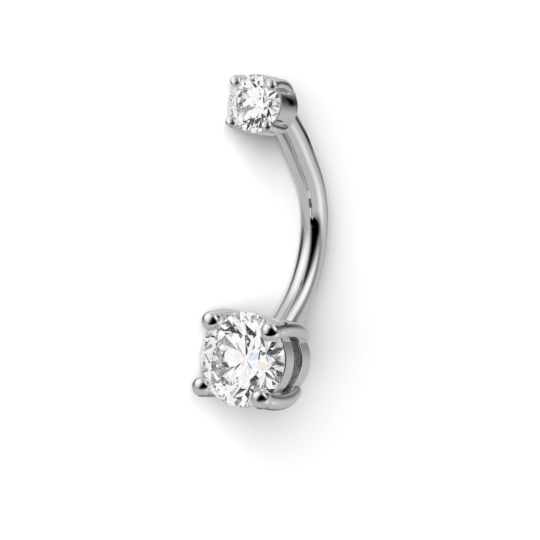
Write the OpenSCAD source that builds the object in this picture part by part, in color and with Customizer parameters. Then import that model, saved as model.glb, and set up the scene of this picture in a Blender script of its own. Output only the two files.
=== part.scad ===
// Belly button ring: a curved bar with a large claw-set stone fixed to its lower end
// and a small claw-set stone that unscrews from its upper end.
// The pieces are drawn upright as worn: X to the side, Y to the back, Z up, with
// the centre of the bar's curve at zero. They are then laid on their side at rest.

/* [Bar] */
// Diameter of the bar, 14 gauge
bar_d = 1.6; // [1.5:0.05:1.7]
// Radius of the bar's curve, measured to its centre line
curve_r = 5.44; // [5.4:0.02:5.5]
// Angle above the middle at which the curve runs out into a straight length
curve_top = 36; // [35.6:0.2:36.4]
// Angle below the middle at which the curve runs out into the lower straight
curve_low = 62; // [61:0.5:63]
// Length of the straight above the curve
straight_l = 2.9; // [2.85:0.05:2.95]
// Angle of the second, short bend
bend = 9; // [8.5:0.5:9.5]
// Length of the straight end beyond that bend, as far as the seam
end_l = 1.94; // [1.88:0.02:1.96]
// Length of the lower straight, which ends inside the large setting
low_l = 2.45; // [2.4:0.05:2.5]

/* [Screw post] */
// Outer diameter of the plain post that stands for the thread
post_d = 1.1; // [0.9:0.05:1.1]
// Thread pitch, the travel of the top in one turn
pitch = 0.25; // [0.2:0.05:0.25]
// Turns of thread inside the bar
turns = 6; // [5:1:6]
// Length of the post inside the neck of the small setting
post_in_neck = 0.5; // [0.3:0.05:0.55]
// Radial clearance round the post
post_gap = 0.04; // [0.02:0.01:0.06]
// Gap at the seam between the bar and the neck
seam_gap = 0.02; // [0.01:0.01:0.04]

/* [Large setting] */
// Girdle diameter of the large stone
large_d = 5.24; // [5.2:0.02:5.28]
// Centre of its girdle behind the centre of the curve
large_y = -3.4; // [-3.44:0.02:-3.36]
// Height of its girdle centre
large_z = -5.73; // [-5.78:0.01:-5.68]
// Angle by which the stone looks up
large_tilt = 18.2; // [17.8:0.1:18.6]
// Outer diameter of the front rail at its front
large_rail_d = 5.3; // [5.28:0.02:5.36]
// Outer diameter of the front rail at its back edge
large_rail_back_d = 5.08; // [5:0.02:5.16]
// Depth of the front rail's back edge behind the girdle
large_rail_w = 1.4; // [1.3:0.05:1.5]
// Outer diameter of the sunk band between the rails
large_band_d = 4.52; // [4.4:0.02:4.6]
// Outer diameter of the base rail at its front edge
large_base_d = 4.76; // [4.7:0.02:4.8]
// Depth of the base rail's front edge behind the girdle
large_base_w = 2.75; // [2.65:0.05:2.85]
// Outer diameter of the base rail at the back
large_back_d = 4.46; // [4.4:0.02:4.52]
// Depth of the back behind the girdle
large_back_w = 4.28; // [4.24:0.02:4.32]
// Height of the claw tips above the girdle
large_tip_up = 0.72; // [0.68:0.01:0.75]

/* [Small setting] */
// Girdle diameter of the small stone
small_d = 3.06; // [3.04:0.02:3.08]
// Centre of its girdle behind the centre of the curve
small_y = -1.93; // [-1.95:0.01:-1.91]
// Height of its girdle centre
small_z = 8.33; // [8.31:0.01:8.35]
// Angle by which the stone looks up
small_tilt = 14.5; // [14.2:0.1:14.8]
// Outer diameter of the cup
small_cup_d = 3.18; // [3.16:0.02:3.22]
// Depth of the back of the cup behind the girdle
small_back_w = 2.34; // [2.3:0.01:2.35]
// Height of the claw tips above the girdle
small_tip_up = 0.26; // [0.24:0.01:0.34]

/* [Claws] */
// Claw thickness as a share of the stone's diameter
claw_share = 0.19; // [0.18:0.005:0.2]
// Diameter of the claw's rounded tip as a share of the stone's diameter
tip_share = 0.215; // [0.21:0.001:0.22]
// Distance of the tip's centre from the axis, as a share of the stone's diameter
tip_out = 0.498; // [0.494:0.002:0.502]
// Distance of the claw's widest point from the axis, as a share of the stone's diameter
bulge_out = 0.546; // [0.54:0.002:0.552]
// Depth of that widest point behind the girdle, as a share of the stone's diameter
bulge_w = 0.2; // [0.19:0.002:0.21]
// Depth of a large claw's back end behind the girdle, as a share of the stone's diameter
large_claw_back = 0.7; // [0.69:0.005:0.71]
// Depth of a small claw's back end behind the girdle, as a share of the stone's diameter
small_claw_back = 0.66; // [0.64:0.005:0.665]

/* [Stone cut] */
// Table width as a share of the stone's diameter
table_share = 0.57; // [0.53:0.01:0.6]
// Crown height as a share of the stone's diameter
crown_share = 0.15; // [0.14:0.005:0.16]
// Pavilion depth as a share of the stone's diameter
pavilion_share = 0.43; // [0.42:0.005:0.435]
// Girdle thickness as a share of the stone's diameter
girdle_share = 0.03; // [0.02:0.005:0.035]

/* [Rest] */
// Roll about the long axis that brings a claw of the large setting down to the surface
rest_roll = 12.3; // [12.2:0.05:12.4]
// Pitch about the short axis that brings the small setting down to the surface
rest_pitch = 3.3; // [3.2:0.05:3.4]

/* [Hidden] */
steel = [0.80, 0.80, 0.82];
crystal = [0.90, 0.95, 0.98];
claws = 4;
round_fn = 64;
claw_fn = 32;
claw_steps = 12;
// Post and bore
post_in_bar = pitch * turns;
bore_r = post_d / 2 + post_gap;
bore_spare = 0.1;
neck_spare = 0.04;
neck_l = 1.05;
// Gap between a stone and its setting, and the rims and hollows of the settings
seat_gap = 0.02;
rim_w = 0.026;
large_back_round = 0.25;
large_cavity_r = 0.352 * large_d;
large_cavity_w = 0.472 * large_d;
small_back_round = 0.4;
small_cavity_r = 0.278 * small_d;
small_cavity_w = 0.463 * small_d;
claw_end_share = 0.96;
tie_share = 1.01;
// Where the stars and the lower facets of a stone meet their neighbours
star_share = 0.97;
lower_share = 0.24;
// Points that bound the laid-down ring, each with a radius round it
bounding = concat(
    wheel_points(large_rail_d / 2, rim_w * large_d, 0, true),
    wheel_points(large_rail_back_d / 2, large_rail_w, 0, true),
    wheel_points(large_base_d / 2, large_base_w, 0, true),
    wheel_points(large_back_d / 2 - large_back_round, large_back_w - large_back_round,
                 large_back_round, true),
    wheel_points(small_cup_d / 2, rim_w * small_d, 0, false),
    wheel_points(small_cup_d / 2 - small_back_round,
                 small_back_w - small_back_round, small_back_round, false),
    claw_points(large_d, large_tip_up, large_claw_back, true),
    claw_points(small_d, small_tip_up, small_claw_back, false),
    [for (a = [-curve_low:1:curve_top])
        [laid([0, curve_r * cos(a), curve_r * sin(a)]), bar_d / 2]]);
lows = [for (k = [0:2]) min([for (b = bounding) b[0][k] - b[1]])];
highs = [for (k = [0:2]) max([for (b = bounding) b[0][k] + b[1]])];
rest_shift = [-(lows.x + highs.x) / 2, -(lows.y + highs.y) / 2, -lows.z];

// Points along an arc in the plane of a profile
function arc(centre, r, from, to, steps) =
    [for (i = [0:steps]) let(a = from + (to - from) * i / steps)
        centre + r * [cos(a), sin(a)]];

// Ring of points of the cut stone, at one radius and height, turned by a start angle
function ring(count, r, z, start) =
    [for (i = [0:count - 1]) let(a = start + 360 / count * i) [r * cos(a), r * sin(a), z]];

// A point of the upright ring after the roll and pitch of the rest pose
function laid(p) =
    let(x = -p.x * sin(rest_pitch) - p.z * cos(rest_pitch),
        z = p.x * cos(rest_pitch) - p.z * sin(rest_pitch))
    [x, p.y * cos(rest_roll) + z * sin(rest_roll), -p.y * sin(rest_roll) + z * cos(rest_roll)];

// A point of a setting's own frame, laid down with it
function laid_in_setting(p, large) =
    let(tilt = large ? large_tilt : small_tilt,
        y = large ? large_y : small_y,
        z = large ? large_z : small_z)
    laid([p.x, y + p.y * sin(tilt) - p.z * cos(tilt), z + p.y * cos(tilt) + p.z * sin(tilt)]);

// Circle of bounding points round a setting's axis, at a depth behind the girdle
function wheel_points(r, w, swell, large) =
    [for (p = ring(round_fn, r, -w, 0)) [laid_in_setting(p, large), swell]];

// Shape of a claw: where its bend is centred, the bend's radius and its two end angles
function claw_bend(d, tip_up, back) =
    let(bulge = [bulge_out * d, -bulge_w * d],
        rise = tip_up - bulge.y,
        half_turn = atan((bulge.x - tip_out * d) / rise),
        r = rise / sin(2 * half_turn))
    [[bulge.x - r, bulge.y], r, -asin((back - bulge_w) * d / r), 2 * half_turn];

// Bounding points along the claws of a setting, the last ones at their tips
function claw_points(d, tip_up, back, large) =
    let(b = claw_bend(d, tip_up, back), line = arc(b[0], b[1], b[2], b[3], claw_steps))
    [for (k = [0:claw_steps], i = [0:claws - 1])
        let(a = 45 + 360 / claws * i)
        [laid_in_setting([line[k].x * cos(a), line[k].x * sin(a), line[k].y], large),
         (k == claw_steps ? tip_share : claw_share) * d / 2]];

// Lays the upright ring on its side, with the small setting towards -X
module at_rest() {
    translate(rest_shift)
        rotate([-rest_roll, 0, 0])
            rotate([0, -90 - rest_pitch, 0])
                children();
}

// Moves a setting's own frame, +Z out of the table, to its place on the bar
module seated(y, z, tilt) {
    translate([0, y, z])
        rotate([90 - tilt, 0, 0])
            children();
}

// Moves a frame with +Z along the bar to the top of the long curve
module on_curve_end() {
    translate([0, curve_r * cos(curve_top), curve_r * sin(curve_top)])
        rotate([curve_top, 0, 0])
            children();
}

// Moves a frame with +Z along the straight end, outwards, to a distance along it
module on_end(distance) {
    on_curve_end()
        translate([0, -curve_r, straight_l])
            rotate([bend, 0, 0])
                translate([0, curve_r, distance])
                    children();
}

// Round bar bent along an arc round +X, from one angle above the middle to another
module bent_bar(from, to) {
    rotate([90, 0, 90])
        rotate([0, 0, from])
            rotate_extrude(angle = to - from, $fn = round_fn)
                translate([curve_r, 0])
                    circle(d = bar_d, $fn = round_fn);
}

module large_stone() {
    color(crystal)
        at_rest()
            seated(large_y, large_z, large_tilt)
                brilliant(large_d);
}

module small_stone() {
    color(crystal)
        at_rest()
            seated(small_y, small_z, small_tilt)
                brilliant(small_d);
}

// Radii and heights of a cut stone: table radius and height, star radius and height,
// half the girdle's thickness, and the height of the culet
function cut(d) =
    let(r = d / 2,
        table_r = table_share * r / cos(22.5),
        half_girdle = girdle_share * d / 2,
        table_z = half_girdle + crown_share * d,
        star_r = (table_r + r) / 2 * star_share)
    [table_r, table_z, star_r,
     table_z - (star_r * cos(22.5) - table_r) * crown_share * d / (r - table_r),
     half_girdle, -half_girdle - pavilion_share * d];

// Room for a stone in its setting, a gap larger than the stone all round
module seat(d) {
    c = cut(d);
    r = d / 2 + seat_gap;
    rotate_extrude($fn = round_fn)
        polygon([[0, c[5] - 2 * seat_gap], [r, -c[4] - seat_gap], [r, c[4] + seat_gap],
                 [c[2] + seat_gap, c[3] + seat_gap], [c[0] + seat_gap, c[1] + seat_gap],
                 [0, c[1] + seat_gap]]);
}

// Round brilliant cut: table, 8 stars, 8 kites, 16 upper and 16 lower girdle facets, 8 mains
module brilliant(d) {
    r = d / 2;
    c = cut(d);
    table_r = c[0];
    table_z = c[1];
    star_r = c[2];
    star_z = c[3];
    half_girdle = c[4];
    culet_z = c[5];
    lower_r = lower_share * r;
    lower_z = culet_z + lower_r * cos(22.5) * pavilion_share * d / r;
    table_at = 0;
    star_at = 8;
    top_at = 16;
    bottom_at = 32;
    lower_at = 48;
    culet_at = 56;
    points = concat(
        ring(8, table_r, table_z, 0),
        ring(8, star_r, star_z, 22.5),
        ring(16, r, half_girdle, 0),
        ring(16, r, -half_girdle, 0),
        ring(8, lower_r, lower_z, 22.5),
        [[0, 0, culet_z]]);
    table = [[for (i = [0:7]) table_at + 7 - i]];
    stars = [for (i = [0:7]) [table_at + i, table_at + (i + 1) % 8, star_at + i]];
    kites = [for (i = [0:7])
        [table_at + i, star_at + i, top_at + 2 * i, star_at + (i + 7) % 8]];
    upper = [for (i = [0:7], k = [0:1])
        [star_at + i, top_at + (2 * i + k + 1) % 16, top_at + 2 * i + k]];
    band = [for (j = [0:15])
        [top_at + j, top_at + (j + 1) % 16, bottom_at + (j + 1) % 16, bottom_at + j]];
    lower = [for (i = [0:7], k = [0:1])
        [lower_at + i, bottom_at + 2 * i + k, bottom_at + (2 * i + k + 1) % 16]];
    mains = [for (i = [0:7])
        [culet_at, lower_at + (i + 7) % 8, bottom_at + 2 * i, lower_at + i]];
    polyhedron(points, concat(table, stars, kites, upper, band, lower, mains));
}

// One claw of a setting: a bent round bar with a larger rounded tip, in the plane of +X
module claw(d, tip_up, back) {
    b = claw_bend(d, tip_up, back);
    thick = claw_share * d;
    rotate([90, 0, 0])
        translate([b[0].x, b[0].y, 0]) {
            rotate([0, 0, b[2]])
                rotate_extrude(angle = b[3] - b[2], $fn = claw_fn)
                    translate([b[1], 0])
                        circle(d = thick, $fn = claw_fn);
            rotate([0, 0, b[2]])
                translate([b[1], 0, 0])
                    sphere(d = thick * claw_end_share, $fn = claw_fn);
            rotate([0, 0, b[3]])
                translate([b[1], 0, 0])
                    sphere(d = tip_share * d, $fn = claw_fn);
        }
}

module claw_ring(d, tip_up, back) {
    for (i = [0:claws - 1])
        rotate([0, 0, 45 + 360 / claws * i])
            claw(d, tip_up, back);
}

// Basket of the large stone: front rail, sunk band, base rail and closed back
module basket() {
    outline = concat(
        [[large_cavity_r, -rim_w * large_d], [large_rail_d / 2, -rim_w * large_d],
         [large_rail_back_d / 2, -large_rail_w], [large_band_d / 2, -large_rail_w],
         [large_band_d / 2, -large_base_w], [large_base_d / 2, -large_base_w]],
        arc([large_back_d / 2 - large_back_round, -large_back_w + large_back_round],
            large_back_round, 0, -90, 4),
        [[0, -large_back_w], [0, -large_cavity_w], [large_cavity_r, -large_cavity_w]]);
    rotate_extrude($fn = round_fn)
        polygon(outline);
}

// Ball a hair thicker than the bar, which ties two lengths of it together where they meet
module tie() {
    sphere(d = tie_share * bar_d, $fn = claw_fn);
}

// Curved bar with its straight upper and lower ends
module bar() {
    bent_bar(-curve_low, curve_top);
    translate([0, curve_r * cos(curve_low), -curve_r * sin(curve_low)])
        rotate([180 - curve_low, 0, 0]) {
            cylinder(h = low_l, d = bar_d, $fn = round_fn);
            tie();
        }
    on_curve_end() {
        tie();
        cylinder(h = straight_l, d = bar_d, $fn = round_fn);
        translate([0, 0, straight_l])
            tie();
        translate([0, -curve_r, straight_l])
            bent_bar(0, bend);
    }
    on_end(0) {
        tie();
        cylinder(h = end_l, d = bar_d, $fn = round_fn);
    }
}

// Bar and large basket, soldered into one piece, with the bore for the post
module bar_and_basket() {
    color(steel)
        at_rest()
            difference() {
                union() {
                    bar();
                    seated(large_y, large_z, large_tilt) {
                        basket();
                        claw_ring(large_d, large_tip_up, large_claw_back);
                    }
                }
                seated(large_y, large_z, large_tilt)
                    seat(large_d);
                on_end(end_l - post_in_bar - bore_spare)
                    cylinder(h = post_in_bar + bore_spare + 1, r = bore_r, $fn = round_fn);
            }
}

module screw_post() {
    color(steel)
        at_rest()
            on_end(end_l - post_in_bar)
                cylinder(h = post_in_bar + seam_gap + post_in_neck, d = post_d, $fn = round_fn);
}

// Cup of the small stone, open in front for the stone's pavilion
module cup() {
    cup_r = small_cup_d / 2;
    outline = concat(
        [[small_cavity_r, -rim_w * small_d], [cup_r, -rim_w * small_d]],
        arc([cup_r - small_back_round, -small_back_w + small_back_round],
            small_back_round, 0, -90, 6),
        [[0, -small_back_w], [0, -small_cavity_w], [small_cavity_r, -small_cavity_w]]);
    rotate_extrude($fn = round_fn)
        polygon(outline);
}

// Small setting with the neck that meets the bar at the seam
module small_setting() {
    color(steel)
        at_rest()
            difference() {
                union() {
                    seated(small_y, small_z, small_tilt) {
                        cup();
                        claw_ring(small_d, small_tip_up, small_claw_back);
                    }
                    on_end(end_l + seam_gap)
                        cylinder(h = neck_l, d = bar_d, $fn = round_fn);
                }
                seated(small_y, small_z, small_tilt)
                    seat(small_d);
                on_end(end_l - neck_spare)
                    cylinder(h = seam_gap + post_in_neck + 2 * neck_spare, r = bore_r,
                             $fn = round_fn);
            }
}

bar_and_basket();
large_stone();
screw_post();
small_setting();
small_stone();
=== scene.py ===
"""Looks of the belly button ring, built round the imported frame.

The ring is drawn upright, in millimetres, with the centre of the bar's curve at
zero, and is then laid on its side where the frame has it, in metres.
"""

from __future__ import annotations

import logging
import math
from collections.abc import Sequence
from dataclasses import dataclass
from enum import Enum
from functools import cache

import bmesh
import bpy
import numpy as np
from bpy.types import Material, Node, NodeSocket, NodeTree, Object
from mathutils import Matrix, Vector

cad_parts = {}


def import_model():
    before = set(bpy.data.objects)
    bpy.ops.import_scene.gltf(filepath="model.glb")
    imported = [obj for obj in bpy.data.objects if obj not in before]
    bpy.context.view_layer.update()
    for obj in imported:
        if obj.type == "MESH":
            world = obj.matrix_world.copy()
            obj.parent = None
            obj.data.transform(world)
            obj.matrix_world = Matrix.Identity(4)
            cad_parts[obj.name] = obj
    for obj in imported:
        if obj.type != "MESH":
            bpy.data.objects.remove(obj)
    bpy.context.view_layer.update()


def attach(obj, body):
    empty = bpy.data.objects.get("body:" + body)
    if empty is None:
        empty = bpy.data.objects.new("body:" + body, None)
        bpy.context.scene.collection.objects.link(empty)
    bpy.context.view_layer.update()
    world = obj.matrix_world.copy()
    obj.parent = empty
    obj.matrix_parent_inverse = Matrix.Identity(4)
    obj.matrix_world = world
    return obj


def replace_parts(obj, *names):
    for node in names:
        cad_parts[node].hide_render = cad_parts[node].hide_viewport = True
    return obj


log = logging.getLogger("ring")

Array = np.ndarray
Colour = tuple[float, float, float]

MM = 0.001
TAU = 2.0 * math.pi
X_AXIS, Y_AXIS, Z_AXIS = np.eye(3)
WHITE = (1.0, 1.0, 1.0, 1.0)

# millimetres: gap at the seam of the screw top, gap under a stone, radius of the screw's bores
SEAM_GAP = 0.02
SEAT_GAP = 0.03
BORE = 0.59


class Body(Enum):
    """Bodies of the frame that a piece can ride on."""

    BAR = "bar"
    POST = "post"
    TOP = "top"


class Slot(Enum):
    """Material slots of the record."""

    STEEL = "steel"
    CRYSTAL = "crystal"


# Placing


def unit(v: Array) -> Array:
    """Vectors, along the last axis, at a length of one."""
    return v / np.linalg.norm(v, axis=-1, keepdims=True)


def turn_about(axis: str, degrees: float) -> Array:
    """Rotation matrix about X, Y or Z."""
    c, s = math.cos(math.radians(degrees)), math.sin(math.radians(degrees))
    i = ("XYZ".index(axis) + 1) % 3
    j = (i + 1) % 3
    matrix = np.eye(3)
    matrix[i, i] = matrix[j, j] = c
    matrix[i, j], matrix[j, i] = -s, s
    return matrix


@dataclass(frozen=True)
class Place:
    """A turn followed by a shift, in millimetres."""

    turn: Array
    shift: Array

    def points(self, p: Array) -> Array:
        """Points carried along."""
        return np.asarray(p, float) @ self.turn.T + self.shift

    def vectors(self, v: Array) -> Array:
        """Directions carried along."""
        return np.asarray(v, float) @ self.turn.T

    def after(self, inner: Place) -> Place:
        """The place that first moves by inner and then by this one."""
        return Place(self.turn @ inner.turn, self.turn @ inner.shift + self.shift)


def standing(way: Array, foot: Array) -> Place:
    """Place of a part whose +Z runs along a way from a foot, with +X across the ring."""
    return Place(np.stack([X_AXIS, np.cross(way, X_AXIS), way], 1), foot)


@dataclass(frozen=True)
class RestPose:
    """How the upright ring lies on the floor."""

    roll: float = 12.3
    pitch: float = 3.3
    shift: tuple[float, float, float] = (0.363799, -0.347712, 1.99859)

    def place(self) -> Place:
        """Place of the upright ring in the row frame, in millimetres."""
        turn = turn_about("X", -self.roll) @ turn_about("Y", -90 - self.pitch)
        return Place(turn, np.array(self.shift))


REST = RestPose().place()


@dataclass(frozen=True)
class Seat:
    """Where a setting's girdle centre sits, from the curve's centre, and its tilt."""

    y: float
    z: float
    tilt: float

    def place(self) -> Place:
        """Place of the setting's own frame, +Z out of the table, in the row frame."""
        turn = turn_about("X", 90 - self.tilt)
        return REST.after(Place(turn, np.array([0.0, self.y, self.z])))


# Meshes


@dataclass
class Shell:
    """A surface of points, faces and, if known, exact normals at the points."""

    points: Array
    faces: list[Sequence[int]]
    normals: Array | None = None

    def moved(self, place: Place) -> Shell:
        """The same surface at a place."""
        normals = None if self.normals is None else place.vectors(self.normals)
        return Shell(place.points(self.points), self.faces, normals)

    def faced_outwards(self) -> Shell:
        """The same surface with its faces turned to agree with its normals."""
        faces = []
        for f in self.faces:
            p = self.points[list(f)]
            up = np.cross(p[1] - p[0], p[2] - p[0])
            if np.linalg.norm(up) < 1e-14 and len(f) > 3:
                up = np.cross(p[2] - p[0], p[3] - p[0])
            want = self.normals[list(f)].mean(axis=0)
            faces.append(list(f) if float(up @ want) >= 0 else list(f)[::-1])
        return Shell(self.points, faces, self.normals)


def joined(shells: Sequence[Shell]) -> Shell:
    """Several surfaces as one.

    Args:
        shells: Surfaces that all have normals.

    Returns:
        One surface with all their points and faces.
    """
    faces, start = [], 0
    for shell in shells:
        faces += [[start + i for i in f] for f in shell.faces]
        start += len(shell.points)
    return Shell(
        np.concatenate([shell.points for shell in shells]),
        faces,
        np.concatenate([shell.normals for shell in shells]),
    )


def tube_faces(rows: int, columns: int) -> list[list[int]]:
    """Quads over rows of points that each run round a tube, and its two end caps.

    Args:
        rows: Rows of points.
        columns: Points in a row.

    Returns:
        Faces as lists of indices, the caps last.
    """
    faces = []
    for i in range(rows - 1):
        low, high = i * columns, (i + 1) * columns
        for j in range(columns):
            k = (j + 1) % columns
            faces.append([low + j, low + k, high + k, high + j])
    first_cap = list(range(columns))[::-1]
    last_cap = list(range((rows - 1) * columns, rows * columns))
    return [*faces, first_cap, last_cap]


@dataclass(frozen=True)
class Corner:
    """A corner of a turned profile: radius, height and the radius of its rounding."""

    r: float
    z: float
    round: float = 0.0


def rounded_profile(corners: Sequence[Corner], arc_steps: int) -> tuple[Array, Array]:
    """Rounds the corners of an open profile.

    Args:
        corners: Corners in order. The first and the last are kept as they are.
        arc_steps: Segments in each rounding.

    Returns:
        Profile points, and the unit normals to the right of the way along it.
    """

    def right_of(way: Array) -> Array:
        return np.array([way[1], -way[0]])

    raw = [np.array([c.r, c.z], float) for c in corners]
    ways = [unit(b - a) for a, b in zip(raw, raw[1:])]
    points, normals = [raw[0]], [right_of(ways[0])]
    for here, corner, way_in, way_out in zip(raw[1:], corners[1:], ways, ways[1:]):
        if corner.round <= 0:
            points += [here, here]
            normals += [right_of(way_in), right_of(way_out)]
            continue
        turn = math.atan2(
            way_in[0] * way_out[1] - way_in[1] * way_out[0], float(way_in @ way_out)
        )
        side = 1.0 if turn > 0 else -1.0
        outwards = right_of(way_in) * side
        start = here - way_in * corner.round * math.tan(abs(turn) / 2)
        centre = start - outwards * corner.round
        for a in np.linspace(0.0, turn, arc_steps + 1):
            c, s = math.cos(a), math.sin(a)
            spoke = np.array([[c, -s], [s, c]]) @ outwards
            points.append(centre + spoke * corner.round)
            normals.append(spoke * side)
    return np.array([*points, raw[-1]]), np.array([*normals, right_of(ways[-1])])


def turned(
    corners: Sequence[Corner], segments: int, arc_steps: int = 6, outside_left: bool = True
) -> Shell:
    """Turns a rounded profile round Z.

    Args:
        corners: Corners of the profile, as radius and height.
        segments: Segments round the axis.
        arc_steps: Segments in each rounding of the profile.
        outside_left: Whether the outside is to the left of the way along the profile.

    Returns:
        The surface, with exact normals.
    """
    points, normals = rounded_profile(corners, arc_steps)
    if outside_left:
        normals = -normals
    a = np.arange(segments) * TAU / segments
    spokes = np.stack([np.cos(a), np.sin(a), np.zeros(segments)], 1)
    rows, row_normals, rings, count = [], [], [], 0
    for p, n in zip(points, normals):
        if p[0] < 1e-9:
            rows.append(np.array([[0.0, 0.0, p[1]]]))
            row_normals.append(np.array([[0.0, 0.0, math.copysign(1.0, n[1])]]))
            rings.append([count] * segments)
        else:
            rows.append(spokes * p[0] + Z_AXIS * p[1])
            row_normals.append(spokes * n[0] + Z_AXIS * n[1])
            rings.append(list(range(count, count + segments)))
        count += len(rows[-1])
    faces: list[list[int]] = []
    for i, (low, high) in enumerate(zip(rings, rings[1:])):
        if np.allclose(points[i], points[i + 1], atol=1e-9):
            continue
        for j in range(segments):
            k = (j + 1) % segments
            faces.append(list(dict.fromkeys([low[j], low[k], high[k], high[j]])))
    return Shell(np.concatenate(rows), faces, np.concatenate(row_normals))


@dataclass(frozen=True)
class Relief:
    """Shallow hollows in a turned wall beside each claw, deepest at the front.

    Radius, front, back and depth are in millimetres. The hollows lie at the middle
    angle from each claw and reach the spread angle to both sides, in degrees.
    """

    radius: float
    front: float
    back: float
    depth: float
    middle: float
    spread: float
    claws: int = 4

    def cut(self, shell: Shell) -> Shell:
        """Sinks the hollows into a surface turned round Z.

        Args:
            shell: The surface, with exact normals.

        Returns:
            The surface with the hollows.
        """
        points, normals = shell.points.copy(), shell.normals.copy()
        x, y, z = points.T
        angle = np.arctan2(y, x)
        part = TAU / self.claws
        beside = (angle % part) - part / 2
        spread = math.radians(self.spread)
        off = (np.abs(beside) - math.radians(self.middle)) / spread
        on_wall = (np.abs(np.hypot(x, y) - self.radius) < 1e-6) & (z <= self.front)
        inside = on_wall & (z >= self.back) & (np.abs(off) < 1)
        length = self.front - self.back
        run = (z - self.back) / length
        taper, taper_slope = run * run * (3 - 2 * run), 6 * run * (1 - run) / length
        bell = np.cos(off * math.pi / 2) ** 2
        bell_slope = -np.sin(off * math.pi) * math.pi / 2 * np.sign(beside) / spread
        depth = np.where(inside, self.depth, 0.0)
        flat = np.zeros(len(z))
        outwards = np.stack([np.cos(angle), np.sin(angle), flat], 1)
        sideways = np.stack([-np.sin(angle), np.cos(angle), flat], 1)
        points -= outwards * (depth * taper * bell)[:, None]
        bent = normals + sideways * (depth * taper * bell_slope / self.radius)[:, None]
        bent[:, 2] += depth * taper_slope * bell
        return Shell(points, shell.faces, np.where(inside[:, None], unit(bent), normals))


def swept(line: Array, radii: Array, segments: int = 96, side: Array = X_AXIS) -> Shell:
    """A round tube of changing thickness along a line, closed at both ends.

    Args:
        line: Centre points.
        radii: Radius at each point.
        segments: Segments round the tube.
        side: A direction that is never along the line.

    Returns:
        The surface, with exact normals.
    """
    along = unit(np.gradient(line, axis=0))
    run = np.concatenate([[0.0], np.cumsum(np.linalg.norm(np.diff(line, axis=0), axis=1))])
    slope = np.gradient(radii, run)
    first = unit(side - (along @ side)[:, None] * along)
    second = np.cross(along, first)
    a = np.arange(segments) * TAU / segments
    out = (
        np.cos(a)[None, :, None] * first[:, None, :]
        + np.sin(a)[None, :, None] * second[:, None, :]
    )
    points = line[:, None, :] + radii[:, None, None] * out
    normals = unit(out - slope[:, None, None] * along[:, None, :])
    faces = tube_faces(len(line), segments)
    return Shell(points.reshape(-1, 3), faces, normals.reshape(-1, 3))


def add_object(name: str, data: bpy.types.ID) -> Object:
    """Adds an object with its mesh, light or camera to the scene."""
    made = bpy.data.objects.new(name, data)
    bpy.context.scene.collection.objects.link(made)
    return made


def add_piece(name: str, shell: Shell, smooth: bool = True) -> Object:
    """Makes an object of a surface in the row frame, in millimetres.

    Args:
        name: Name of the piece.
        shell: The surface.
        smooth: Whether the faces are shaded smooth.

    Returns:
        The object, in metres, linked to the scene.
    """
    mesh = bpy.data.meshes.new(name)
    mesh.from_pydata((shell.points * MM).tolist(), [], [list(f) for f in shell.faces])
    mesh.validate(clean_customdata=False)
    mesh.polygons.foreach_set("use_smooth", [smooth] * len(mesh.polygons))
    if shell.normals is not None and len(mesh.vertices) == len(shell.normals):
        corner_normals = [shell.normals[v.vertex_index].tolist() for v in mesh.loops]
        mesh.normals_split_custom_set(corner_normals)
    mesh.update()
    return add_object(name, mesh)


# Finishes


def feed(node: Node, values: dict[str | int, object]) -> None:
    """Sets or links inputs of a node.

    Args:
        node: The node.
        values: By name or number of each input, its value or the socket that feeds it.
    """
    for key, value in values.items():
        if isinstance(value, NodeSocket):
            node.id_data.links.new(value, node.inputs[key])
        else:
            node.inputs[key].default_value = value


def add_node(
    tree: NodeTree, kind: str, values: dict[str | int, object] | None = None, **options: object
) -> Node:
    """Adds a node.

    Args:
        tree: Node tree that gets it.
        kind: Node type.
        values: Values or sockets for its inputs, by name or number.
        **options: Properties of the node.

    Returns:
        The node.
    """
    node = tree.nodes.new(kind)
    for key, value in options.items():
        setattr(node, key, value)
    feed(node, values or {})
    return node


def number(tree: NodeTree, operation: str, *terms: object) -> NodeSocket:
    """Adds a sum, product or other operation on values or sockets, and gives its result."""
    node = add_node(tree, "ShaderNodeMath", dict(enumerate(terms)), operation=operation)
    return node.outputs[0]


def blend(
    value: NodeSocket, low: object, high: object, under: object, over: object
) -> NodeSocket:
    """Adds a smooth change from under to over while a value goes from low to high."""
    ends = {"From Min": low, "From Max": high, "To Min": under, "To Max": over}
    smooth = {"interpolation_type": "SMOOTHSTEP"}
    node = add_node(value.id_data, "ShaderNodeMapRange", {"Value": value, **ends}, **smooth)
    return node.outputs["Result"]


def bumps(height: NodeSocket, strength: float, depth: float, **options: object) -> NodeSocket:
    """Adds bumps of a strength and a depth in millimetres, and gives their normal."""
    values = {"Strength": strength, "Distance": depth * MM, "Height": height}
    return add_node(height.id_data, "ShaderNodeBump", values, **options).outputs["Normal"]


def new_group(
    name: str, inputs: dict[str, float], outputs: Sequence[str]
) -> tuple[NodeTree, Node, Node]:
    """Makes a node group with number sockets.

    Args:
        name: Name of the group.
        inputs: Its inputs and their usual values.
        outputs: Its outputs.

    Returns:
        The group, its input node and its output node.
    """
    group = bpy.data.node_groups.new(name, "ShaderNodeTree")
    sockets = group.interface
    for socket, value in inputs.items():
        item = sockets.new_socket(socket, in_out="INPUT", socket_type="NodeSocketFloat")
        item.default_value = value
    for socket in outputs:
        sockets.new_socket(socket, in_out="OUTPUT", socket_type="NodeSocketFloat")
    return group, add_node(group, "NodeGroupInput"), add_node(group, "NodeGroupOutput")


def new_material(name: str) -> tuple[Material, NodeTree, Node]:
    """Makes a material, and gives it with its node tree and its Principled BSDF."""
    made = bpy.data.materials.new(name)
    made.use_nodes = True
    return made, made.node_tree, made.node_tree.nodes["Principled BSDF"]


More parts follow.
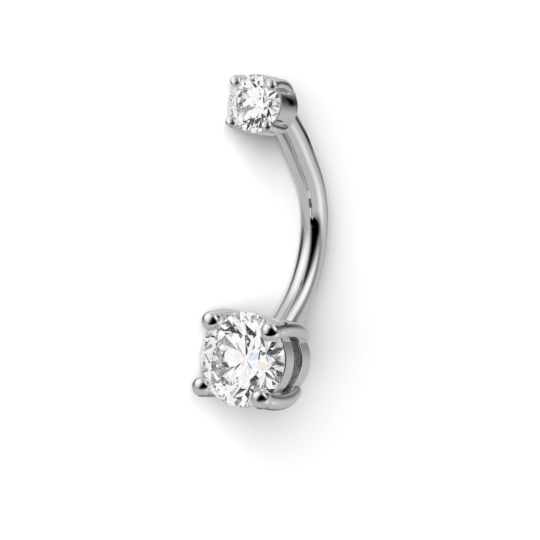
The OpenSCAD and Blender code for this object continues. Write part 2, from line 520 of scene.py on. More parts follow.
@cache
def polish_marks() -> NodeTree:
    """Builds the group that makes the faint marks of a hand-polished surface.

    Returns:
        The node group: Roughness and Height from Roughness, Spread and Scale.
    """
    usual = {"Roughness": 0.05, "Spread": 0.02, "Scale": 900.0}
    group, start, end = new_group("polish marks", usual, ["Roughness", "Height"])
    where = add_node(group, "ShaderNodeTexCoord").outputs["Object"]
    roughness, spread, scale = (start.outputs[name] for name in usual)

    def noise(size: NodeSocket, detail: float, roughening: float) -> NodeSocket:
        values = {"Vector": where, "Scale": size, "Detail": detail, "Roughness": roughening}
        return add_node(group, "ShaderNodeTexNoise", values).outputs["Fac"]

    cloud = noise(scale, detail=4.0, roughening=0.6)
    fine = noise(number(group, "MULTIPLY", scale, 6.0), detail=3.0, roughening=0.5)
    middle = number(group, "SUBTRACT", cloud, 0.5)
    varied = number(group, "MULTIPLY_ADD", middle, spread, roughness)
    feed(end, {"Roughness": varied, "Height": fine})
    return group


@dataclass(frozen=True)
class PolishedSteel:
    """High-polish, neutral white metal."""

    name: str = "polished steel"
    colour: Colour = (0.88, 0.88, 0.885)
    roughness: float = 0.045
    spread: float = 0.03
    scale: float = 700.0
    bump: float = 0.02
    bump_height: float = 0.01

    @cache
    def material(self) -> Material:
        """Builds the material, once."""
        made, tree, shader = new_material(self.name)
        marks = add_node(tree, "ShaderNodeGroup", node_tree=polish_marks())
        feed(marks, {"Roughness": self.roughness, "Spread": self.spread, "Scale": self.scale})
        normal = bumps(marks.outputs["Height"], self.bump, self.bump_height)
        feed(shader, {"Metallic": 1.0, "Base Color": (*self.colour, 1.0)})
        feed(shader, {"Roughness": marks.outputs["Roughness"], "Normal": normal})
        return made


@dataclass(frozen=True)
class GranularSteel:
    """Cast, unpolished metal of the sunk band, darker than the steel, with painted shade in its
    grain hollows.
    """

    name: str = "granular steel"
    light: Colour = (0.5, 0.5, 0.5)
    # painted shade: the colour of the hollows between the grains
    dark: Colour = (0.07, 0.07, 0.07)
    light_to: float = 0.15
    hollow_shade_from: float = 0.75
    roughness: float = 0.38
    scale: float = 9000.0
    bump: float = 0.6
    bump_height: float = 0.04

    @cache
    def material(self) -> Material:
        """Builds the material, once."""
        made, tree, shader = new_material(self.name)
        where = add_node(tree, "ShaderNodeTexCoord").outputs["Object"]
        grains = {"Vector": where, "Scale": self.scale, "Randomness": 1.0}
        distance = add_node(tree, "ShaderNodeTexVoronoi", grains).outputs["Distance"]
        # the ramp paints shade into the hollows between the grains, the same hollows that the
        # bump sinks
        shade = add_node(tree, "ShaderNodeValToRGB", {"Fac": distance})
        ends = ((self.light_to, self.light), (self.hollow_shade_from, self.dark))
        for element, (position, colour) in zip(shade.color_ramp.elements, ends):
            element.position = position
            element.color = (*colour, 1.0)
        normal = bumps(distance, self.bump, self.bump_height, invert=True)
        feed(shader, {"Metallic": 1.0, "Base Color": shade.outputs["Color"]})
        feed(shader, {"Roughness": self.roughness, "Normal": normal})
        return made


@dataclass(frozen=True)
class CutCrystal:
    """Clear cut stone with polished facets."""

    name: str = "cut crystal"
    colour: Colour = (1.0, 1.0, 1.0)
    ior: float = 2.2

    @cache
    def material(self) -> Material:
        """Builds the material, once."""
        made, _, shader = new_material(self.name)
        feed(shader, {"Base Color": (*self.colour, 1.0), "IOR": self.ior})
        feed(shader, {"Roughness": 0.0, "Transmission Weight": 1.0})
        return made


Finish = PolishedSteel | GranularSteel | CutCrystal


def dress(piece: Object, finish: Finish, body: Body) -> Object:
    """Gives a piece its finish and the body that it rides on."""
    piece.data.materials.append(finish.material())
    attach(piece, body.value)
    return piece


# Sub-assemblies


@dataclass(frozen=True)
class Curve:
    """Centre line of the bar, in its own plane, in millimetres and degrees."""

    radius: float = 5.44
    top: float = 36.0
    low: float = 62.0
    straight: float = 2.9
    bend: float = 9.0
    end: float = 1.94
    low_straight: float = 2.45
    ease: float = 0.7
    step: float = 0.07

    def out(self, angle: float) -> Array:
        """Direction from the centre to the long curve, at an angle above the middle."""
        a = math.radians(angle)
        return np.array([0.0, math.cos(a), math.sin(a)])

    def way(self, angle: float) -> Array:
        """Direction of the curve there, upwards."""
        a = math.radians(angle)
        return np.array([0.0, -math.sin(a), math.cos(a)])

    def end_start(self) -> tuple[Array, Array]:
        """Start and direction of the straight upper end."""
        bent = self.top + self.bend
        centre = self.straight * self.way(self.top)
        return centre + self.radius * self.out(bent), self.way(bent)

    def end_point(self, beyond: float = 0.0) -> Array:
        """Upper end of the bar's line, or a point beyond it along its last way."""
        start, way = self.end_start()
        return start + way * (self.end + beyond)

    def line(self) -> Array:
        """Points from the low end, inside the large setting, to the seam.

        Returns:
            Points a step apart, whose curvature changes gently where lengths meet.
        """
        long_curve = self.radius * math.radians(self.low + self.top)
        bend = self.radius * math.radians(self.bend)
        ends = np.cumsum([self.low_straight, long_curve, self.straight, bend, self.end])
        bent = np.array([0.0, 1.0, 0.0, 1.0, 0.0]) / self.radius
        count = int(round(ends[-1] / self.step))
        step = ends[-1] / count
        middle = (np.arange(count) + 0.5) * step
        curvature = bent[np.searchsorted(ends, middle)]
        reach = int(4 * self.ease / step)
        bell = np.exp(-0.5 * (np.arange(-reach, reach + 1) * step / self.ease) ** 2)
        padded = np.pad(curvature, reach, mode="edge")
        curvature = np.convolve(padded, bell / bell.sum(), "valid")[::-1]
        # the seam and the way there are exact, and the line is drawn back from them
        heading = math.radians(self.top + self.bend) - np.cumsum(curvature) * step
        heading += curvature * step / 2
        seam = self.end_point()
        back = np.stack([np.zeros(count), np.sin(heading), -np.cos(heading)], 1) * step
        return np.concatenate([[seam], seam + np.cumsum(back, axis=0)])[::-1]


@dataclass
class Bar:
    """The curved bar, with the bore for the screw in its upper end."""

    curve: Curve = Curve()
    radius: float = 0.8
    bore_depth: float = 1.6
    chamfer: float = 0.05
    end_depth: float = 0.3
    end_inset: float = 0.002

    def build(self) -> Object:
        """Builds and dresses the bar.

        Returns:
            The bar.
        """
        line = self.curve.line()
        tube = swept(line, np.full(len(line), self.radius))
        # the tube's own upper cap is dropped, and a turned end with the bore closes it
        tube = Shell(tube.points, tube.faces[:-1], tube.normals)
        end_r = self.radius - self.end_inset
        end = turned(
            [
                Corner(0.0, -self.bore_depth),
                Corner(BORE, -self.bore_depth, 0.05),
                Corner(BORE, 0.0, 0.03),
                Corner(end_r, 0.0, self.chamfer),
                Corner(end_r, -self.end_depth),
            ],
            segments=96,
        )
        end = end.moved(standing(self.curve.end_start()[1], line[-1]))
        piece = add_piece("bar", joined([tube, end]).moved(REST).faced_outwards())
        return dress(piece, PolishedSteel(), Body.BAR)


@dataclass(frozen=True)
class Claw:
    """Shape of one claw, as shares of the stone's diameter."""

    end_back: float
    thick: float = 0.19
    tip: float = 0.215
    tip_out: float = 0.498
    bulge_out: float = 0.546
    bulge_back: float = 0.2
    blend: float = 12.0

    def build(self, d: float, tip_up: float) -> Shell:
        """Builds one claw in the plane of +X of its setting's frame.

        Args:
            d: Diameter of the stone.
            tip_up: Height of the tip's centre above the girdle.

        Returns:
            The claw's surface.
        """
        bulge_x, bulge_z = self.bulge_out * d, -self.bulge_back * d
        rise = tip_up - bulge_z
        front = 2 * math.atan((bulge_x - self.tip_out * d) / rise)
        r = rise / math.sin(front)
        back = -math.asin((self.end_back - self.bulge_back) * d / r)
        tip_r, arm_r = self.tip * d / 2, self.thick * d / 2
        # s is the distance along the line from the tip's centre, negative behind it
        neck, ball = -2.2 * tip_r, -0.2 * tip_r
        s = np.concatenate(
            [
                np.linspace((back - front) * r, neck, 40)[:-1],
                np.linspace(neck, ball, 36)[:-1],
                tip_r * np.sin(np.linspace(-0.2, math.pi / 2 - 0.02, 36)),
            ]
        )
        ball_r = np.sqrt(np.clip(tip_r**2 - s**2, 0, None))
        arm = np.where(s < 0, arm_r, arm_r / tip_r * ball_r)
        # the ball flows into the arm in a shallow neck
        both = (ball_r**self.blend + arm**self.blend) ** (1 / self.blend)
        radii = both / (1 + (arm_r / tip_r) ** self.blend) ** (1 / self.blend)
        radii = np.maximum(np.where(s < -tip_r, arm_r, radii), 1e-4)
        angle = front + np.minimum(s, 0.0) / r
        beyond = np.maximum(s, 0.0)
        x = bulge_x - r + r * np.cos(angle) - beyond * math.sin(front)
        z = bulge_z + r * np.sin(angle) + beyond * math.cos(front)
        line = np.stack([x, np.zeros_like(x), z], 1)
        return swept(line, radii, segments=64, side=Y_AXIS)

    def ring(self, d: float, tip_up: float, count: int = 4) -> list[Shell]:
        """All the claws of a setting, in its own frame."""
        one = self.build(d, tip_up)
        turns = [turn_about("Z", 45 + 360 / count * i) for i in range(count)]
        return [one.moved(Place(turn, np.zeros(3))) for turn in turns]


@dataclass(frozen=True)
class Stone:
    """A round brilliant with a round girdle, cut facet by facet.

    The diameter is in millimetres and the turn in degrees. Table, crown, pavilion
    and girdle are shares of the diameter, and the girdle is given as a half height
    over the radius.
    """

    d: float
    table: float = 0.57
    crown: float = 0.15
    pavilion: float = 0.43
    girdle: float = 0.03
    star_share: float = 0.55
    lower_share: float = 0.77
    turn: float = 0.0

    def bed(self, radius: float) -> float:
        """Height of the metal under the pavilion, a small gap below it."""
        depth = (self.d / 2 - radius) * self.pavilion * 2
        return -(self.girdle * self.d / 2 + depth + SEAT_GAP)

    def planes(self) -> list[tuple[Array, Array]]:
        """Facet planes in the setting's frame.

        Returns:
            A point and the outward normal of each facet.
        """
        r = self.d / 2
        top = self.girdle * self.d / 2
        table_z, table_r = top + self.crown * self.d, self.table * r
        culet = np.array([0.0, 0.0, -top - self.pavilion * self.d])
        found: list[tuple[Array, Array]] = [(Z_AXIS * table_z, Z_AXIS)]

        def at(radius: float, degrees: float, z: float) -> Array:
            a = math.radians(degrees)
            return np.array([radius * math.cos(a), radius * math.sin(a), z])

        def facet(a: Array, b: Array, c: Array) -> None:
            normal = unit(np.cross(b - a, c - a))
            found.append((a, -normal if normal @ (a + b + c) < 0 else normal))

        def level_facet(a: Array, b: Array, slope: Array) -> None:
            normal = unit(np.cross(np.cross(Z_AXIS, slope), b - a))
            found.append((a, -normal if normal @ slope < 0 else normal))

        def on_last_facet(radius: float, degrees: float) -> Array:
            (a, n), p = found[-1], at(radius, degrees, 0.0)
            return p + Z_AXIS * (a[2] - (n[:2] @ (p - a)[:2]) / n[2])

        corner_r = table_r / math.cos(math.radians(22.5))
        star_r = table_r + (r - table_r) * self.star_share
        lower_r = r * (1 - self.lower_share)
        for i in range(8):
            a = self.turn + 45.0 * i
            between, after = a + 22.5, a + 45.0
            corner, slope = at(corner_r, a, table_z), at(1.0, a, 0.0)
            # the kite, and the star's tip on its plane between two table corners
            level_facet(corner, at(r, a, top), slope)
            tip = on_last_facet(star_r, between)
            facet(corner, at(corner_r, after, table_z), tip)
            facet(tip, at(r, a, top), at(r, between, top))
            facet(tip, at(r, after, top), at(r, between, top))
            # the pavilion's main facet under the kite, and its lower halves
            level_facet(culet, at(r, a, -top), slope)
            low = on_last_facet(lower_r, between)
            facet(low, at(r, a, -top), at(r, between, -top))
            facet(low, at(r, after, -top), at(r, between, -top))
        return found

    def shell(self) -> Shell:
        """Cuts the stone out of a round blank."""
        weld, same_facet = 1e-4, math.radians(0.3)
        blank = {"radius1": self.d / 2, "radius2": self.d / 2, "depth": self.d * 1.4}
        work = bmesh.new()
        bmesh.ops.create_cone(work, cap_ends=True, segments=128, **blank)
        for point, normal in self.planes():
            whole = work.verts[:] + work.edges[:] + work.faces[:]
            plane = {"plane_co": Vector(point), "plane_no": Vector(normal), "dist": 1e-7}
            cut = bmesh.ops.bisect_plane(work, geom=whole, clear_outer=True, **plane)
            edges = [e for e in cut["geom_cut"] if isinstance(e, bmesh.types.BMEdge)]
            if edges:
                bmesh.ops.contextual_create(work, geom=edges)
        # the stone is convex, so its corners alone give a closed surface
        corners = [tuple(v.co) for v in work.verts]
        work.clear()
        for corner in corners:
            work.verts.new(corner)
        bmesh.ops.remove_doubles(work, verts=work.verts[:], dist=weld)
        hull = bmesh.ops.convex_hull(work, input=work.verts[:])
        spare = [v for v in hull["geom_interior"] if isinstance(v, bmesh.types.BMVert)]
        bmesh.ops.delete(work, geom=spare, context="VERTS")
        bmesh.ops.dissolve_limit(
            work, angle_limit=same_facet, verts=work.verts[:], edges=work.edges[:]
        )
        bmesh.ops.recalc_face_normals(work, faces=work.faces[:])
        work.verts.index_update()
        points = np.array([v.co[:] for v in work.verts])
        faces = [[v.index for v in f.verts] for f in work.faces]
        open_edges = sum(1 for e in work.edges if len(e.link_faces) != 2)
        log.info("stone of %.2f mm: %d facets, %d open edges", self.d, len(faces), open_edges)
        work.free()
        return Shell(points, faces)


@dataclass
class LargeSetting:
    """Basket of two rails with a sunk band between them, four claws and the large stone."""

    seat: Seat = Seat(-3.4, -5.73, 18.2)
    rail_r: float = 2.65
    rail_back_r: float = 2.54
    rail_back: float = 1.4
    rim: float = 0.06
    band_r: float = 2.26
    band_depth: float = 0.1
    base_r: float = 2.38
    base: float = 2.75
    back_r: float = 2.23
    back: float = 4.28
    back_round: float = 0.25
    cavity_r: float = 1.845
    cavity: float = 2.473
    tip_up: float = 0.72
    claw: Claw = Claw(0.7)
    stone: Stone = Stone(5.24, table=0.545, pavilion=0.427, girdle=0.025, turn=24.6)

    def basket(self) -> Shell:
        """The basket, from its cavity round the rim, the rails and the base to its back."""
        rim_r = self.rail_r - self.rim
        return turned(
            [
                Corner(0.0, -self.cavity),
                Corner(self.cavity_r, -self.cavity, 0.2),
                Corner(self.cavity_r, self.stone.bed(self.cavity_r), 0.08),
                Corner(rim_r, self.stone.bed(rim_r), 0.02),
                Corner(self.rail_r, -0.16, 0.04),
                Corner(self.rail_back_r, -self.rail_back, 0.09),
                Corner(self.band_r, -self.rail_back, 0.05),
                Corner(self.band_r, -self.base, 0.05),
                Corner(self.base_r, -self.base, 0.08),
                Corner(self.back_r, -self.back, self.back_round),
                Corner(0.0, -self.back),
            ],
            segments=192,
        )

    def band(self) -> Shell:
        """The granular face of the sunk band, just proud of the basket's own."""
        inner_r, face_r = self.band_r - self.band_depth, self.band_r + 0.01
        return turned(
            [
                Corner(inner_r, -self.rail_back + 0.05),
                Corner(face_r, -self.rail_back + 0.04),
                Corner(face_r, -self.base - 0.04),
                Corner(inner_r, -self.base - 0.05),
            ],
            segments=192,
        )

    def build(self) -> list[Object]:
        """Builds and dresses the basket, its claws, its band and its stone.

        Returns:
            The pieces.
        """
        place = self.seat.place()
        metal = [self.basket(), *self.claw.ring(self.stone.d, self.tip_up)]
        piece = add_piece("large_basket", joined(metal).faced_outwards().moved(place))
        dress(piece, PolishedSteel(), Body.BAR)
        ring = add_piece("large_sunk_band", self.band().faced_outwards().moved(place))
        dress(ring, GranularSteel(), Body.BAR)
        stone = add_piece("large_stone_cut", self.stone.shell().moved(place), smooth=False)
        dress(stone, CutCrystal(), Body.BAR)
        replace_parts(piece, "bar_and_basket")
        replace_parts(stone, "large_stone")
        return [piece, ring, stone]


@dataclass
class SmallSetting:
    """Cup with four claws, its neck and the small stone."""

    curve: Curve = Curve()
    seat: Seat = Seat(-1.93, 8.33, 14.5)
    cup_r: float = 1.59
    rim: float = 0.06
    back: float = 2.34
    back_round: float = 0.4
    cavity_r: float = 0.851
    cavity: float = 1.417
    tip_up: float = 0.26
    neck_r: float = 0.8
    bore_depth: float = 0.58
    neck: float = 1.05
    relief: Relief = Relief(1.59, -0.15, -1.75, 0.13, 12.0, 8.0)
    claw: Claw = Claw(0.66)
    stone: Stone = Stone(3.06, table=0.53, star_share=0.58, lower_share=0.74, turn=33.75)

    def cup(self) -> Shell:
        """The cup, with rows of points down its wall for the hollows beside the claws."""
        rim_r = self.cup_r - self.rim
        wall = turned(
            [
                Corner(0.0, -self.cavity),
                Corner(self.cavity_r, -self.cavity, 0.1),
                Corner(self.cavity_r, self.stone.bed(self.cavity_r), 0.05),
                Corner(rim_r, self.stone.bed(rim_r), 0.02),
                Corner(self.cup_r, -0.1, 0.03),
                *[Corner(self.cup_r, -z) for z in np.arange(0.2, 1.9, 0.1)],
                Corner(self.cup_r, -self.back, self.back_round),
                Corner(0.0, -self.back),
            ],
            segments=576,
            arc_steps=10,
        )
        return self.relief.cut(wall)

    def neck_shell(self) -> Shell:
        """The neck with its bore, up from the seam."""
        return turned(
            [
                Corner(0.0, self.bore_depth),
                Corner(BORE, self.bore_depth, 0.05),
                Corner(BORE, 0.0, 0.03),
                Corner(self.neck_r, 0.0, 0.05),
                Corner(self.neck_r, self.neck, 0.1),
                Corner(0.0, self.neck),
            ],
            segments=96,
            outside_left=False,
        )

    def build(self) -> list[Object]:
        """Builds and dresses the cup with its claws and neck, and its stone.

        Returns:
            The pieces.
        """
        place = self.seat.place()
        metal = [self.cup(), *self.claw.ring(self.stone.d, self.tip_up)]
        head = joined(metal).faced_outwards().moved(place)
        seam = standing(self.curve.end_start()[1], self.curve.end_point(SEAM_GAP))
        neck = self.neck_shell().faced_outwards().moved(REST.after(seam))
        piece = add_piece("small_cup", joined([head, neck]))
        dress(piece, PolishedSteel(), Body.TOP)
        stone = add_piece("small_stone_cut", self.stone.shell().moved(place), smooth=False)
        dress(stone, CutCrystal(), Body.TOP)
        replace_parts(piece, "small_setting")
        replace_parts(stone, "small_stone")
        return [piece, stone]


@dataclass
class ScrewPost:
    """The threaded post between the bar and the small setting."""

    curve: Curve = Curve()
    major: float = 0.55
    depth: float = 0.09
    pitch: float = 0.25
    crest: float = 1.25
    flank: float = 4.5
    runout: float = 0.12
    in_bar: float = 1.5
    in_neck: float = 0.5

    def build(self) -> Object:
        """Builds and dresses the post.

        Returns:
            The post.
        """
        length = self.in_bar + SEAM_GAP + self.in_neck
        rows, columns = 260, 48
        h = np.linspace(0.0, length, rows)[:, None]
        a = np.arange(columns) * TAU / columns
        phase = (h / self.pitch - a / TAU) % 1.0
        ridge = np.clip(self.crest - self.flank * np.abs(phase - 0.5), 0.0, 1.0)
        full = np.clip(np.minimum(h, length - h) / self.runout, 0.0, 1.0)
        r = self.major - self.depth * (1 - ridge * full)
        z = np.repeat(h, columns, 1)
        points = np.stack([r * np.cos(a), r * np.sin(a), z], 2).reshape(-1, 3)
        foot = standing(self.curve.end_start()[1], self.curve.end_point(-self.in_bar))
        shape = Shell(points, tube_faces(rows, columns)).moved(REST.after(foot))
        piece = add_piece("threaded_post", shape)
        dress(piece, PolishedSteel(), Body.POST)
        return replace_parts(piece, "screw_post")


# Studio


def placed(right: Array, up: Array, out: Array, middle: Array) -> Matrix:
    """Matrix of an object with the given axes and middle."""
    matrix = np.eye(4)
    matrix[:3] = np.stack([right, up, out, middle], 1)
    return Matrix(matrix.tolist())


@dataclass(frozen=True)
class PhotoView:
    """The photograph's camera, fitted in the upright frame, in millimetres and pixels."""

    azimuth: float = 28.24
    elevation: float = 16.92
    scale: float = 17.868
    distance: float = 1 / 0.012
    centre: tuple[float, float] = (271.183, 244.345)
    frame: float = 540.0
    sensor: float = 36.0

    def axes(self) -> tuple[Array, Array, Array]:
        """Right, up and back of the photograph, in the row frame."""
        a, e = math.radians(self.azimuth), math.radians(self.elevation)
        back = np.array([math.sin(a) * math.cos(e), -math.cos(a) * math.cos(e), math.sin(e)])
        right = np.array([math.cos(a), math.sin(a), 0.0])
        up = np.cross(back, right)
        return REST.vectors(right), REST.vectors(up), REST.vectors(back)

    def point(self, right: float, up: float, back: float) -> Array:
        """A point given along the photograph's axes from the curve's centre, in metres."""
        r, u, b = self.axes()
        return (REST.shift + r * right + u * up + b * back) * MM

    def build(self) -> Object:
        """Makes the camera.

        Returns:
            The camera, which is the scene's.
        """
        right, up, back = self.axes()
        focal = self.scale * self.distance
        across, down = ((self.frame / 2 - c) / focal for c in self.centre)
        forward = unit(right * across - up * down - back)
        upright = unit(up - (up @ forward) * forward)
        data = bpy.data.cameras.new("photo view")
        data.sensor_width = self.sensor
        data.lens = focal / self.frame * self.sensor
        data.clip_start, data.clip_end = 0.002, 5.0
        camera = add_object("photo view", data)
        side = np.cross(forward, upright)
        camera.matrix_world = placed(side, upright, -forward, self.point(0, 0, self.distance))
        bpy.context.scene.camera = camera
        return camera


@cache
def soft_window() -> NodeTree:
    """Builds the group that fades a panel out towards its edges.

    Returns:
        The node group: Cover from Softness and Taper, over a panel that reaches
        from -1 to 1 both ways. A taper of 1 narrows it to a point at the top.
    """
    group, start, end = new_group("soft window", {"Softness": 0.5, "Taper": 0.0}, ["Cover"])
    where = add_node(group, "ShaderNodeTexCoord")
    part = add_node(group, "ShaderNodeSeparateXYZ", {0: where.outputs["Object"]})
    x, y = part.outputs["X"], part.outputs["Y"]
    raised = number(group, "MULTIPLY_ADD", y, 0.5, 0.5)
    narrowed = number(group, "MULTIPLY", raised, start.outputs["Taper"])
    half_width = number(group, "SUBTRACT", 1.0, narrowed)
    inside = number(group, "SUBTRACT", half_width, number(group, "ABSOLUTE", x))
    below = number(group, "SUBTRACT", 1.0, number(group, "ABSOLUTE", y))
    softness = start.outputs["Softness"]
    faded = [blend(from_edge, 0.0, softness, 0.0, 1.0) for from_edge in (inside, below)]
    feed(end, {"Cover": number(group, "MULTIPLY", *faded)})
    return group


def flat_square(name: str, half: float, material: Material) -> Object:
    """Adds a level square round zero, in metres."""
    mesh = bpy.data.meshes.new(name)
    corners = ((-half, -half, 0), (half, -half, 0), (half, half, 0), (-half, half, 0))
    mesh.from_pydata(corners, [], [(0, 1, 2, 3)])
    mesh.materials.append(material)
    return add_object(name, mesh)


class Viewer(Enum):
    """What sees a panel: reflections in metal, or light that left a stone."""

    METAL = "metal"
    STONE = "stone"


@dataclass(frozen=True)
class Panel:
    """A soft-edged light panel or dark card of the studio, seen only in reflections.

    Its middle is given as seen from the centre of the bar's curve: degrees to the
    right of the camera and above it, and a distance in millimetres. Width and
    height are half sizes. The sheen is the share of its light that the polish of
    the stones mirrors.
    """

    name: str
    lon: float
    lat: float
    distance: float
    width: float
    height: float
    turn: float = 0.0
    lean: float = 0.0
    taper: float = 0.0
    soft: float = 1.0
    level: float = 0.0
    tint: Colour = (1.0, 1.0, 1.0)
    seen_by: Viewer = Viewer.METAL
    sheen: float = 0.2

    def axes(self) -> tuple[Array, Array, Array]:
        """Way to the panel's middle, and its own right and up, along the photo's axes."""
        lon, lat = math.radians(self.lon), math.radians(self.lat)
        turn, lean = math.radians(self.turn), math.radians(self.lean)
        level_way = np.array([math.sin(lon), 0.0, math.cos(lon)])
        way = level_way * math.cos(lat) + Y_AXIS * math.sin(lat)
        side = np.array([math.cos(lon), 0.0, -math.sin(lon)])
        top = np.cross(way, side)
        side, top = (
            side * math.cos(turn) + top * math.sin(turn),
            top * math.cos(turn) - side * math.sin(turn),
        )
        return way, side, top * math.cos(lean) + way * math.sin(lean)

    def material(self) -> Material:
        """Builds the panel's glow, which its viewers see inside its soft edges."""
        made, tree, _ = new_material(self.name)
        tree.nodes.clear()
        window = add_node(tree, "ShaderNodeGroup", node_tree=soft_window())
        feed(window, {"Softness": self.soft, "Taper": self.taper})
        paths = add_node(tree, "ShaderNodeLightPath")
        in_metal = float(self.seen_by is Viewer.METAL)
        leaving, mirrored = paths.outputs["Is Transmission Ray"], paths.outputs["Is Singular Ray"]
        shown = blend(leaving, 0.0, 1.0, in_metal, 1.0 - in_metal)
        strength = blend(mirrored, 0.0, 1.0, self.level, self.level * self.sheen)
        cover = number(tree, "MULTIPLY", window.outputs["Cover"], shown)
        clear = add_node(tree, "ShaderNodeBsdfTransparent").outputs[0]
        light = {"Color": (*self.tint, 1.0), "Strength": strength}
        glow = add_node(tree, "ShaderNodeEmission", light).outputs[0]
        mixed = add_node(tree, "ShaderNodeMixShader", {"Fac": cover, 1: clear, 2: glow})
        add_node(tree, "ShaderNodeOutputMaterial", {"Surface": mixed.outputs[0]})
        made.cycles.emission_sampling = "NONE"
        return made

    def build(self, view: PhotoView) -> Object:
        """Builds the panel.

        Args:
            view: The view whose axes the place is given along.

        Returns:
            The panel.
        """
        panel = flat_square(self.name, 1.0, self.material())
        way, side, top = self.axes()
        along = np.stack(view.axes(), 1)
        side, top = along @ side, along @ top
        panel.matrix_world = placed(
            side * self.width * MM,
            top * self.height * MM,
            np.cross(side, top) * MM,
            view.point(*(way * self.distance).tolist()),
        )
        panel.visible_camera = False
        panel.visible_diffuse = False
        panel.visible_shadow = False
        return panel


@dataclass(frozen=True)
class StoneCard:
    """A card that only light from the stones sees, far off, in degrees.

    It sits to the right of the camera and above it, reaches across and up by half
    angles, and is turned. It is black unless it has a tint.
    """

    lon: float
    lat: float
    across: float
    up: float
    turn: float = 0.0
    tint: Colour = (0.0, 0.0, 0.0)
    distance: float = 400.0

    def panel(self, name: str) -> Panel:
        """The card as a panel of the studio."""
        width, height = (
            self.distance * math.tan(math.radians(half)) for half in (self.across, self.up)
        )
        place = (self.lon, self.lat, self.distance, width, height, self.turn)
        light = {"soft": 0.25, "level": 1.0, "tint": self.tint, "sheen": 1.0}
        return Panel(name, *place, seen_by=Viewer.STONE, **light)


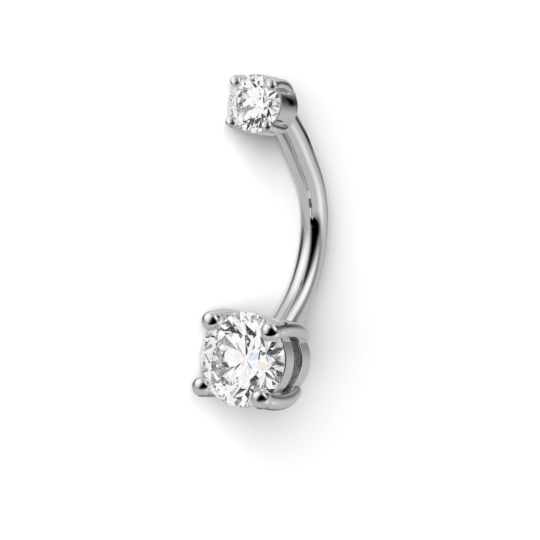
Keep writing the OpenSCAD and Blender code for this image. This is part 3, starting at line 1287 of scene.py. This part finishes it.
@dataclass
class Studio:
    """Plain pale floor, soft light and the panels that the metal and the stones reflect."""

    view: PhotoView = PhotoView()
    floor_half: float = 0.9
    floor_front: float = 0.546
    floor_back: float = 0.523
    walls_front: float = 0.0
    walls_back: float = 0.613
    ceiling: float = 0.775
    ceiling_from: float = 0.6
    horizon: float = 0.41
    stone_room: float = 1.14
    stone_polish: float = 0.15
    ambient: float = 0.12
    key: float = 8.6
    key_angle: float = 49.3
    key_way: tuple[float, float, float] = (-0.191, 0.19, 0.963)

    def build(self) -> None:
        """Builds the studio."""
        self.floor()
        self.key_light()
        self.world()
        for panel in self.panels():
            panel.build(self.view)
        for count, card in enumerate(self.stone_cards(), 1):
            card.panel(f"stone card {count}").build(self.view)
        scene = bpy.context.scene
        scene.view_settings.view_transform = "Standard"
        scene.view_settings.look = "None"
        scene.cycles.max_bounces = 64
        scene.cycles.transmission_bounces = 48
        scene.cycles.glossy_bounces = 32
        scene.cycles.transparent_max_bounces = 40
        scene.cycles.caustics_reflective = False
        scene.cycles.caustics_refractive = False

    def floor(self) -> None:
        """The pale floor that the ring lies on."""
        made, _, shader = new_material("pale floor")
        grey = (0.9, 0.9, 0.9, 1.0)
        feed(shader, {"Base Color": grey, "Roughness": 0.9, "Specular IOR Level": 0.0})
        floor = flat_square("floor", self.floor_half, made)
        floor.visible_glossy = False
        floor.visible_transmission = False

    def key_light(self) -> None:
        """The large soft light that casts the shadow, from the left of and above the camera."""
        data = bpy.data.lights.new("soft key", "SUN")
        data.energy = self.key
        data.angle = math.radians(self.key_angle)
        light = add_object("soft key", data)
        way = Vector(np.stack(self.view.axes(), 1) @ np.array(self.key_way))
        light.rotation_mode = "QUATERNION"
        light.rotation_quaternion = way.to_track_quat("Z", "Y")
        light.visible_glossy = False
        light.visible_transmission = False

    def panels(self) -> list[Panel]:
        """The panels and cards that the metal reflects, named after their places or uses."""
        return [
            Panel("left softbox", -75, 27.5, 21.5, 44, 31, -47, -31, level=1.15),
            Panel("right softbox", 55.5, 28, 54.6, 44.5, 91, -26.5, 20, level=1.14),
            Panel("camera card", 9.5, 7, 14, 32.5, 20.6, 6, 8.5, 1.0, 0.5),
            Panel("left back card", -128.6, 8.7, 60, 57, 29.4, -25),
            Panel("right back card", 103.6, 26.8, 60, 122, 33, -21.5),
            Panel("right low reflector", 82.3, -31.8, 60, 57.4, 25.5, 4.5, level=0.94),
            Panel("right grey card", 78.4, -2.7, 40, 11.5, 60.6, -46.8, level=0.28),
            Panel("left table edge", -121, -9.7, 41.5, 79, 4.7, -15, level=0.39),
            Panel("ceiling card", -44.5, 79, 90, 46, 123, 78.6),
            Panel("low back card", -178, -51.5, 70, 29, 52, 18, soft=0.7, level=0.2),
            Panel("bar edge card", 138.19, 24.27, 18.31, 6.09, 1.75, 7.4, 25.9, -0.88),
            Panel("cup card", 104.41, 44.46, 13.01, 0.26, 2.81, 8.2, 1.3, -0.41, 0.72),
            Panel("streak card", 9.06, -44.28, 9.01, 12.78, 1.61, 12.6, 21.2, 0.09, 0.45),
        ]

    def stone_cards(self) -> list[StoneCard]:
        """The cards that give the stones their dark facets and their fire."""
        blue, yellow = (0.78, 0.88, 1.12), (1.1, 0.98, 0.82)
        cards = (
            (-8.1, 49.1, 2.5, 22.8, 59.6),
            (-27.9, -56.7, 21.5, 8.5, -32.1),
            (7.8, 21.7, 13.2, 11.8, 85.4),
            (87.2, 5.8, 22.9, 18.1, 18.8),
            (9.3, -39.4, 8.8, 12.0, 37.7),
            (2.0, -2.3, 9.9, 7.2, 69.6),
            (-20.2, -48.2, 4.8, 21.2, -6.0),
            (20.0, -1.9, 5.4, 20.9, 144.2),
            (18.0, 15.0, 3.6, 7.2, -31.4),
            (-73.9, -3.3, 7.7, 10.7, -57.4),
            (52.4, 42.9, 26.0, 11.9, -28.9),
            (-43, 3, 4, 4, 20, blue),
            (-30, -24, 3, 5, 40, yellow),
            (-52, 26, 4, 3, 0, blue),
            (38, -20, 3, 4, 10, yellow),
            (-24, 34, 3, 3, 30, yellow),
            (30, 36, 3, 4, 50, blue),
        )
        return [StoneCard(*card) for card in cards]

    def world(self) -> None:
        """The room that the metal and the stones reflect, plain white to the eye."""
        world = bpy.data.worlds.new("studio")
        bpy.context.scene.world = world
        world.use_nodes = True
        tree = world.node_tree
        tree.nodes.clear()
        direction = add_node(tree, "ShaderNodeTexCoord").outputs["Generated"]
        paths = add_node(tree, "ShaderNodeLightPath")

        def along(axis: Array) -> NodeSocket:
            values = {0: direction, 1: tuple(axis)}
            node = add_node(tree, "ShaderNodeVectorMath", values, operation="DOT_PRODUCT")
            return node.outputs["Value"]

        def light(strength: object) -> NodeSocket:
            values = {"Color": WHITE, "Strength": strength}
            return add_node(tree, "ShaderNodeBackground", values).outputs[0]

        def by_ray(ray: str, others: NodeSocket, this: NodeSocket) -> NodeSocket:
            values = {"Fac": paths.outputs[ray], 1: others, 2: this}
            return add_node(tree, "ShaderNodeMixShader", values).outputs[0]

        _, up, back = self.view.axes()
        height, depth = along(up), along(back)
        floor = blend(depth, -0.5, 0.5, self.floor_back, self.floor_front)
        walls = blend(depth, -0.5, 0.5, self.walls_back, self.walls_front)
        walls = blend(height, self.ceiling_from, 1.0, walls, self.ceiling)
        level = blend(height, -self.horizon, self.horizon, floor, walls)
        level = blend(paths.outputs["Is Singular Ray"], 0.0, 1.0, level, self.stone_polish)
        level = blend(paths.outputs["Is Transmission Ray"], 0.0, 1.0, level, self.stone_room)
        room = by_ray("Is Diffuse Ray", light(level), light(self.ambient))
        room = by_ray("Is Camera Ray", room, light(1.0))
        add_node(tree, "ShaderNodeOutputWorld", {"Surface": room})


def main() -> None:
    """Builds the ring round the frame, and its studio."""
    logging.basicConfig(level=logging.INFO, format="%(message)s")
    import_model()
    PhotoView().build()
    made: list[Object] = [Bar().build()]
    made += LargeSetting().build()
    made += SmallSetting().build()
    made.append(ScrewPost().build())
    for piece in made:
        log.info("%s: %d faces", piece.name, len(piece.data.polygons))
    Studio().build()


if __name__ == "__main__":
    main()
